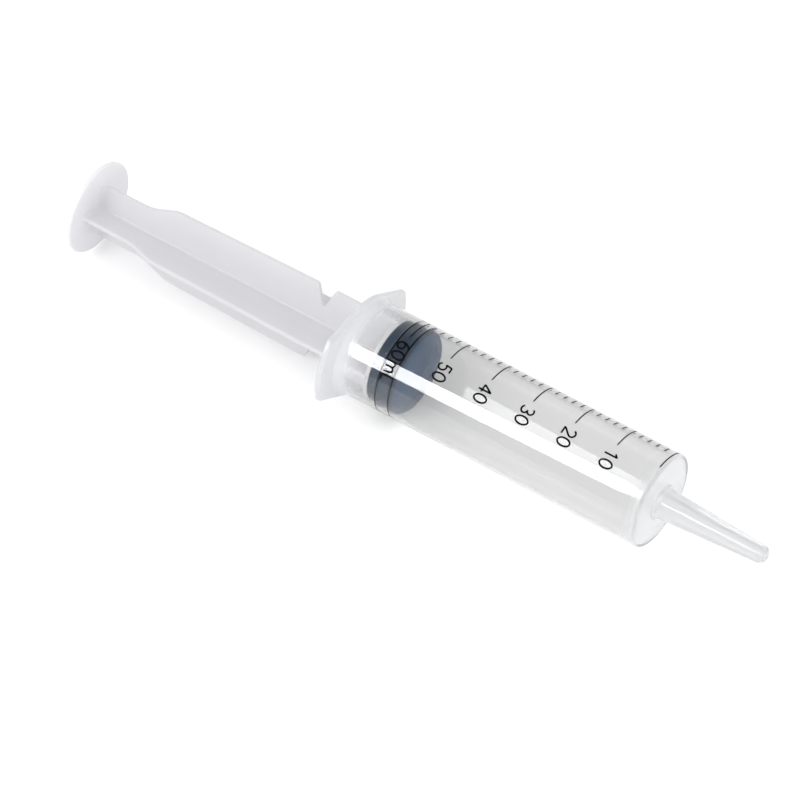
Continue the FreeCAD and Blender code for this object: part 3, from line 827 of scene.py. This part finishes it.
# The middle of the strip that is seen through the barrel, and where the painted shade beside it
# darkens the grey.
STRIP_MIDDLE = 12.0
PAINTED_SHADE_SPAN = (20.0, 40.0)


def matte_paint(tree, colour):
    return add_node(tree, "ShaderNodeBsdfPrincipled", inputs={
        "Base Color": colour, "Roughness": TABLE_ROUGHNESS, "Specular IOR Level": 0.0})


def white_table():
    material, tree = new_material("white_table")
    place = add_node(tree, "ShaderNodeTexCoord")
    parts = add_node(tree, "ShaderNodeSeparateXYZ", inputs={"Vector": place.outputs["Object"]})
    from_middle = add_node(tree, "ShaderNodeMath", {"operation": "SUBTRACT"}, {
        0: parts.outputs["Y"], 1: STRIP_MIDDLE * MM})
    beside = add_node(tree, "ShaderNodeMath", {"operation": "ABSOLUTE"}, {
        0: from_middle.outputs[0]})
    painted_shade_beside = add_node(tree, "ShaderNodeMapRange", {"interpolation_type": "SMOOTHSTEP"}, {
        "Value": beside.outputs[0], "From Min": PAINTED_SHADE_SPAN[0] * MM, "From Max": PAINTED_SHADE_SPAN[1] * MM})
    # The grey seen through the wall turns darker away from the middle of the strip: painted shade.
    grey = add_node(tree, "ShaderNodeMix", {"data_type": "RGBA"}, {
        0: painted_shade_beside.outputs["Result"], 6: linear("CFCFCF"), 7: linear("B0B0B0")})
    seen_directly = matte_paint(tree, linear("FAFAFA"))
    seen_through = matte_paint(tree, grey.outputs[2])
    rays = add_node(tree, "ShaderNodeLightPath")
    shown = add_node(tree, "ShaderNodeMixShader", inputs={
        0: rays.outputs["Is Transmission Ray"], 1: seen_directly.outputs[0],
        2: seen_through.outputs[0]})
    add_node(tree, "ShaderNodeOutputMaterial", inputs={"Surface": shown.outputs[0]})
    return material


floor_corners = [(-FLOOR_HALF, -FLOOR_HALF), (FLOOR_HALF, -FLOOR_HALF),
                 (FLOOR_HALF, FLOOR_HALF), (-FLOOR_HALF, FLOOR_HALF)]
floor_mesh = bpy.data.meshes.new("table")
floor_mesh.from_pydata([(x, y, FLOOR_LEVEL) for x, y in floor_corners], [], [(0, 1, 2, 3)])
floor_mesh.materials.append(white_table())
table = bpy.data.objects.new("table", floor_mesh)
bpy.context.scene.collection.objects.link(table)
print("table at %.1f mm" % (FLOOR_LEVEL / MM))

# %% [markdown]
# ## Camera
# The camera stands where the photograph was taken from. Its angles, its distance and its lens
# were found by laying the outlines of the solids over the outlines in the photograph. It is so
# far away, with so long a lens, that the syringe hardly narrows towards its far end.

# %% Camera
CAMERA_AZIMUTH = math.radians(34.662)
CAMERA_ELEVATION = math.radians(49.765)
CAMERA_ROLL = math.radians(-0.085)
CAMERA_TARGET = Vector((16.39, -3.753, -11.282)) * MM
CAMERA_DISTANCE = 1491.8 * MM
FOCAL_PIXELS = 4804.4
IMAGE_PIXELS = 800
SENSOR_WIDTH = 36.0

toward_camera = Vector((
    math.sin(CAMERA_AZIMUTH) * math.cos(CAMERA_ELEVATION),
    -math.cos(CAMERA_AZIMUTH) * math.cos(CAMERA_ELEVATION),
    math.sin(CAMERA_ELEVATION)))
level_right = (-toward_camera).cross(Vector((0, 0, 1))).normalized()
level_up = level_right.cross(-toward_camera)
right = math.cos(CAMERA_ROLL) * level_right + math.sin(CAMERA_ROLL) * level_up
up = -math.sin(CAMERA_ROLL) * level_right + math.cos(CAMERA_ROLL) * level_up
camera_data = bpy.data.cameras.new("camera")
camera_data.sensor_width = SENSOR_WIDTH
camera_data.lens = FOCAL_PIXELS * SENSOR_WIDTH / IMAGE_PIXELS
camera_data.clip_start = 0.05
camera_data.clip_end = 20.0
camera = bpy.data.objects.new("camera", camera_data)
bpy.context.scene.collection.objects.link(camera)
axes = Matrix((right, up, toward_camera)).transposed().to_4x4()
camera.matrix_world = Matrix.Translation(CAMERA_TARGET + toward_camera * CAMERA_DISTANCE) @ axes
bpy.context.scene.camera = camera
print("lens %.1f mm" % camera_data.lens)

# %% [markdown]
# ## Lights
# The long white stripe on the barrel is the mirror image of a softbox. The mirror law on the round
# wall gives its place: the stripe's height on the wall, its width and its drift along the barrel
# fix the side, the size and the tilt of the lamp. A lamp bright enough for that stripe would light
# the white plastic too much, so it is made twice in nearly the same place: one lamp only lights,
# and the other is only seen in mirroring walls. On the far wall the photograph's stripe is much
# fainter, so the mirrored lamp is dimmed for rays that have gone through more than two skins.
# A weak third lamp beyond the tip lights the nose of the stopper and the front.


# %% A softbox
def softbox(name, centre, aim, width, height, tilt, radiance):
    """A rectangular light of that radiance, its width along X but for the tilt in its own plane."""
    data = bpy.data.lights.new(name, "AREA")
    data.shape = "RECTANGLE"
    data.size = width
    data.size_y = height
    data.energy = radiance * width * height * math.pi
    lamp = bpy.data.objects.new(name, data)
    bpy.context.scene.collection.objects.link(lamp)
    back = (Vector(centre) - Vector(aim)).normalized()
    level = (Vector((1, 0, 0)) - back * back.x).normalized()
    side = level * math.cos(tilt) + back.cross(level) * math.sin(tilt)
    turned = Matrix((side, back.cross(side), back)).transposed().to_4x4()
    lamp.matrix_world = Matrix.Translation(centre) @ turned
    print("%s: %.2f W" % (name, data.energy))
    return lamp


def lights_only(lamp):
    """Hide a lamp from mirroring and clear walls, so that it is never seen itself."""
    lamp.visible_glossy = False
    lamp.visible_transmission = False


def mirrored_only(lamp, dimmed):
    """Show a lamp in mirroring walls alone, dimmed where it is seen through more than two skins."""
    lamp.visible_diffuse = False
    lamp.data.use_nodes = True
    tree = lamp.data.node_tree
    tree.nodes.clear()
    rays = add_node(tree, "ShaderNodeLightPath")
    strength = add_node(tree, "ShaderNodeMapRange", inputs={
        "Value": rays.outputs["Transmission Depth"], "From Min": 2.0, "From Max": 3.0,
        "To Min": 1.0, "To Max": dimmed})
    glow = add_node(tree, "ShaderNodeEmission", inputs={"Strength": strength.outputs["Result"]})
    add_node(tree, "ShaderNodeOutputLight", inputs={"Surface": glow.outputs[0]})


# %% The three lamps, in metres
KEY_AIM = Vector((0.055, 0.0, 0.0))
KEY_DISTANCE = 0.9
# The direction to the key lamp: its lean towards the thumb disc, and its angle round the axis.
KEY_LEAN = -0.36
KEY_ANGLE = math.radians(139.4)
KEY_TILT = math.radians(44.8)
KEY_WIDTH = 0.56
KEY_HEIGHT = 0.306
KEY_RADIANCE = 5.0
MIRRORED_RADIANCE = 11.5
# The mirrored lamp stands this much nearer, because of two lamps in one place only one is seen.
MIRRORED_NEARER = 0.002
FAR_WALL_SHARE = 0.3
FILL_PLACE = (0.5, 0.0, 0.8)
FILL_SIDE = 0.8
FILL_RADIANCE = 0.8

key_way = Vector((KEY_LEAN, *polar(math.sqrt(1 - KEY_LEAN ** 2), KEY_ANGLE)))
key = softbox("key", KEY_AIM + key_way * KEY_DISTANCE, KEY_AIM, KEY_WIDTH, KEY_HEIGHT, KEY_TILT,
              KEY_RADIANCE)
lights_only(key)
key_in_mirror = softbox("key_in_mirror", KEY_AIM + key_way * (KEY_DISTANCE - MIRRORED_NEARER),
                        KEY_AIM, KEY_WIDTH, KEY_HEIGHT, KEY_TILT, MIRRORED_RADIANCE)
mirrored_only(key_in_mirror, FAR_WALL_SHARE)
fill = softbox("fill", FILL_PLACE, (0.0, 0.0, 0.0), FILL_SIDE, FILL_SIDE, 0.0, FILL_RADIANCE)
lights_only(fill)

# %% [markdown]
# ## Surround
# An even white surround lights everything softly from all sides. Mirrored in the glossy wall it
# is a dark room instead: nearly black overhead, and a third as bright as the table near the
# horizon. A studio gets the same by black cards above the table, and it keeps the clear wall from
# looking milky.

# %% White surround and dark room
SURROUND_STRENGTH = 1.05
ROOM_AT_HORIZON = 0.38
ROOM_OVERHEAD = 0.05
# Between these two heights, as the Z of a direction, the room turns dark.
ROOM_DARKENS = (0.45, 0.85)

world = bpy.data.worlds.new("white_surround")
world.use_nodes = True
sky = world.node_tree
sky.nodes.clear()
even = add_node(sky, "ShaderNodeBackground", inputs={
    "Color": linear("FFFFFF"), "Strength": SURROUND_STRENGTH})
direction = add_node(sky, "ShaderNodeTexCoord")
parts_of_direction = add_node(sky, "ShaderNodeSeparateXYZ", inputs={
    "Vector": direction.outputs["Generated"]})
overhead = add_node(sky, "ShaderNodeMapRange", {"interpolation_type": "SMOOTHSTEP"}, {
    "Value": parts_of_direction.outputs["Z"], "From Min": ROOM_DARKENS[0],
    "From Max": ROOM_DARKENS[1], "To Min": ROOM_AT_HORIZON, "To Max": ROOM_OVERHEAD})
room = add_node(sky, "ShaderNodeBackground", inputs={
    "Color": linear("FFFFFF"), "Strength": overhead.outputs["Result"]})
kind_of_ray = add_node(sky, "ShaderNodeLightPath")
surround = add_node(sky, "ShaderNodeMixShader", inputs={
    0: kind_of_ray.outputs["Is Glossy Ray"], 1: even.outputs[0], 2: room.outputs[0]})
add_node(sky, "ShaderNodeOutputWorld", inputs={"Surface": surround.outputs[0]})
bpy.context.scene.world = world
bpy.context.scene.view_settings.view_transform = "Standard"
print("surround:", world.name)

# %% [markdown]
# ## End

# %% End
print("scene built")
